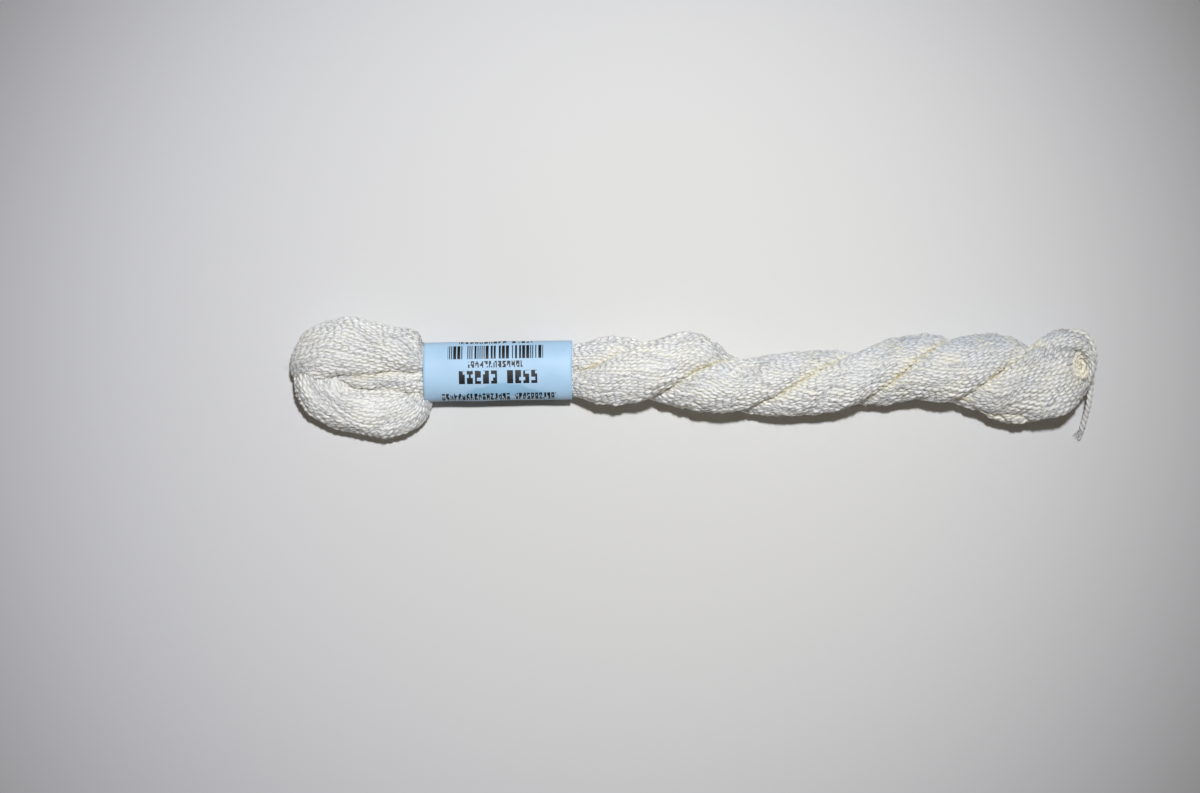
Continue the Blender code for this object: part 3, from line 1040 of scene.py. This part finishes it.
# A row of blocky marks, as a mask: a column between marks is left blank, and so is one mark.
def printGroup():
    tree = bpy.data.node_groups.new("greeked_row", "ShaderNodeTree")
    tree.interface.new_socket("Place", in_out="INPUT", socket_type="NodeSocketVector")
    for name in PrintRow._fields:
        tree.interface.new_socket(name, in_out="INPUT", socket_type="NodeSocketFloat")
    tree.interface.new_socket("Mask", in_out="OUTPUT", socket_type="NodeSocketFloat")
    given, result = tree.nodes.new("NodeGroupInput").outputs, tree.nodes.new("NodeGroupOutput")
    along, across, _ = addNode(tree, "SeparateXYZ", {"Vector": given["Place"]})
    column = maths(tree, "FLOOR", maths(tree, "DIVIDE", along, given["stepAlong"]))
    row = maths(tree, "FLOOR", maths(tree, "DIVIDE", across, given["stepAcross"]))
    mark = maths(tree, "FLOOR", maths(tree, "DIVIDE", column, given["perMark"]))
    inMark = maths(tree, "FLOORED_MODULO", column, given["perMark"])
    cell = addNode(tree, "CombineXYZ", {"X": column, "Y": row, "Z": given["seed"]})[0]
    block = addNode(tree, "TexWhiteNoise", {"Vector": cell})["Value"]
    fromBlank = maths(tree, "ABSOLUTE", maths(tree, "SUBTRACT", mark, given["blank"]))
    mask = maths(tree, "LESS_THAN", block, given["cover"])
    for part in (
        maths(tree, "GREATER_THAN", inMark, 0.5),
        maths(tree, "GREATER_THAN", fromBlank, 0.5),
        within(tree, along, given["left"], given["right"]),
        within(tree, across, given["low"], given["high"]),
    ):
        mask = maths(tree, "MULTIPLY", mask, part)
    feed(tree, result, {"Mask": mask})
    return tree


def paperMaterial():
    material, tree, shader = newMaterial("band_paper")
    place = readMark(tree, "labelPlace", "Vector")
    along, across, _ = addNode(tree, "SeparateXYZ", {"Vector": place})
    fibres, blotch = noise(tree, place, 2.6, 5.0), noise(tree, place, 0.28, 3.0)
    # The wash is a low hill of darker blue along the label's lower edge.
    hill = maths(tree, "ABSOLUTE", maths(tree, "SUBTRACT", along, paper["washMiddle"]))
    hill = maths(tree, "MULTIPLY_ADD", hill, paper["washSlope"], paper["washPeak"])
    hill = maths(tree, "MINIMUM", hill, paper["washTop"])
    hill = maths(tree, "ADD", hill, maths(tree, "MULTIPLY_ADD", blotch, *paper["washUneven"]))
    below, edge = maths(tree, "SUBTRACT", hill, across), paper["washEdge"]
    below = {"Value": below, "From Min": -edge, "From Max": edge}
    washed = addNode(tree, "MapRange", below, interpolation_type="SMOOTHSTEP")["Result"]
    washed = maths(tree, "MULTIPLY", washed, within(tree, across, paper["washBottom"], 0))
    washed = maths(tree, "MULTIPLY", washed, paper["washed"])
    colour = mixColours(tree, washed, paper["colour"], paper["wash"])
    tinted = {0: colour, "Scale": maths(tree, "MULTIPLY_ADD", blotch, 0.12, 0.94)}
    colour = addNode(tree, "VectorMath", tinted, operation="SCALE")[0]
    group, ink = printGroup(), 0.0
    for row in printRows:
        given = {"Place": place, **row._asdict()}
        mask = addNode(tree, "Group", given, node_tree=group)["Mask"]
        ink = maths(tree, "MAXIMUM", mask, ink)
    finish = {
        "Base Color": mixColours(tree, ink, colour, paper["ink"]),
        "Normal": bump(tree, fibres, 0.25, paper["fibreDepth"]),
        "Roughness": maths(tree, "MULTIPLY_ADD", fibres, 0.14, paper["roughness"] - 0.07),
        "Specular IOR Level": paper["shine"],
    }
    feed(tree, shader, finish)
    return material


# The band is one strip of paper, wound a little more than once round and lapped beneath.
def makeBand():
    half, thickness = band["length"] / 2, band["thickness"]
    reach = np.linspace(-half, half, band["rings"])[:, None]
    turn = np.linspace(*band["wound"], band["sides"])
    angle = np.radians(turn)
    power = 2 / band["square"]
    side = np.sign(np.cos(angle)) * np.abs(np.cos(angle)) ** power
    up = np.sign(np.sin(angle)) * np.abs(np.sin(angle)) ** power
    lap = band["lap"] * thickness * smoothStep(turn, *band["lapped"])
    waves = sum(far * np.sin(reach / length + k * angle + t) for far, length, k, t in band["wavy"])
    ends = sum(far * np.sin(k * angle + t) for far, k, t in band["ragged"])
    atEnds = smoothStep(np.abs(reach), half - band["raggedOver"], half)
    layers = []
    for inset in (0, thickness):
        across = (band["width"] / 2 - thickness - inset + lap + waves) * side
        above = (band["height"] / 2 - thickness - inset + lap + waves) * up
        layers.append(np.stack([reach + ends * atEnds, across, above], -1))
    grid = np.arange(reach.size * turn.size).reshape(reach.size, -1)
    skin = wallOn(grid[:, :-1], grid[:, 1:])
    faces = np.concatenate([skin[:, ::-1], skin + grid.size]).tolist()
    edge = np.concatenate([grid[0, :-1], grid[:-1, -1], grid[-1, :0:-1], grid[:0:-1, 0]])
    edge = np.stack([edge, np.roll(edge, -1)], -1)
    faces += np.concatenate([edge, edge[:, ::-1] + grid.size], -1).tolist()
    points = np.array(layers).reshape(-1, 3)
    mesh = smoothMesh("paper_band", fromBand(*points.T), faces, paperMaterial())
    setPlace(mesh, "labelPlace", points)
    made = addObject("paper_band", mesh)
    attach(made, "root")
    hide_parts("label_band")
    print(f"paper_band: {2 * len(faces)} triangles")


makeBand()
print("band made")

looseEnd = {
    "rows": (
        (100.6, 12.4, 12.2),
        (103.0, 7.2, 11.6),
        (103.5, 0.2, 9.9),
        (103.6, -6.4, 6.9),
        (103.4, -11.6, 2.4),
        (102.6, -15.9, 0.7),
    ),
    "length": 32.0,
    "diameter": 1.32,
    "frayed": 3.8,
    "filaments": 64,
    "filament": 0.07,
    "spread": 1.25,
    "lowest": 0.15,
}


# The thread opens at its tip into a small brush of its own filaments.
def makeLooseEnd():
    fine = evenRows(smoothRows(looseEnd["rows"], perRow=20), step=0.3)
    reach = reachOf(fine)
    bound = reach[-1] - looseEnd["frayed"]
    thread = ThreadMesh("loose_thread_end")
    rng = np.random.default_rng(3)
    size = 0.6 + 0.55 * smoothStep(reach, 1.0, 4.0) - 0.6 * smoothStep(reach, bound, reach[-1])
    thread.add(fine, (1, 0, 0), (0, 0), rng, size)
    for _ in range(looseEnd["filaments"]):
        line = fine[np.searchsorted(reach, bound - 1) : rng.integers(len(fine) - 6, len(fine))]
        parting = (np.linspace(0, 1, len(line)) ** 1.6)[:, None]
        out = np.clip(rng.normal(0, 0.7, 3), -1, 1) * (1, 0.5, 0.5) - (0.7, 0.3, 0)
        line = line + unit(rng.normal(0, 1, 3)) * 0.3 + out * parting * looseEnd["spread"]
        line[:, 2] = np.maximum(line[:, 2], looseEnd["lowest"])
        thread.addFibre(line[::2], looseEnd["filament"], rng.uniform(0, 1))
    made = thread.make(silkFinish)
    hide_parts("loose_end")


makeLooseEnd()
print("loose end made")

light = {
    "key": (16.0, 140.0, 570.0),
    "aim": (-29.0, -2.0, 0.0),
    "cone": 47.6,
    "keySize": 40.0,
    "keyPower": 13.3,
    "keyColour": (0.97, 0.985, 1.0),
    "fill": 0.11,
    "fillColour": (1.0, 0.82, 0.6, 1),
}
ground = {
    "half": 3000.0,
    "near": (0.66, 0.66, 0.655, 1),
    "far": (0.655, 0.668, 0.727, 1),  # painted light: a little bluer away from the skein, as if lit by cooler light there
    "turnsFrom": 50.0,
    "turnsTo": 190.0,
    "roughness": 0.6,
}


def makeStage():
    mesh, half = bpy.data.meshes.new("floor"), ground["half"] * mm
    corners = [(-half, -half, 0), (half, -half, 0), (half, half, 0), (-half, half, 0)]
    mesh.from_pydata(corners, [], [(0, 1, 2, 3)])
    material, tree, shader = newMaterial("floor")
    place = addNode(tree, "TexCoord", {})["Object"]
    # Painted light: the floor turns a little bluer away from the skein, as if lit by cooler light
    # there.
    reach = addNode(tree, "VectorMath", {0: place}, operation="LENGTH")["Value"]
    turns = {"From Min": ground["turnsFrom"] * mm, "From Max": ground["turnsTo"] * mm}
    paintedCoolLight = addNode(tree, "MapRange", {"Value": reach, **turns})["Result"]
    colour = mixColours(tree, paintedCoolLight, ground["near"], ground["far"])
    finish = {"Base Color": colour, "Roughness": ground["roughness"]}
    feed(tree, shader, finish)
    mesh.materials.append(material)
    floor = addObject("floor", mesh)
    lamp = bpy.data.lights.new("key", "SPOT")
    lamp.spot_size = math.radians(light["cone"])
    lamp.spot_blend = 1.0
    lamp.shadow_soft_size = light["keySize"] / 2 * mm
    lamp.energy = light["keyPower"]
    lamp.color = light["keyColour"]
    key = addObject("key", lamp)
    key.location = Vector(light["key"]) * mm
    towards = Vector(light["aim"]) - Vector(light["key"])
    key.rotation_euler = towards.to_track_quat("-Z", "Y").to_euler()
    world = bpy.data.worlds.new("studio")
    world.use_nodes = True
    sky = {"Color": light["fillColour"], "Strength": light["fill"]}
    feed(world.node_tree, world.node_tree.nodes["Background"], sky)
    scene.world = world
    scene.view_settings.view_transform = "Standard"


makeStage()
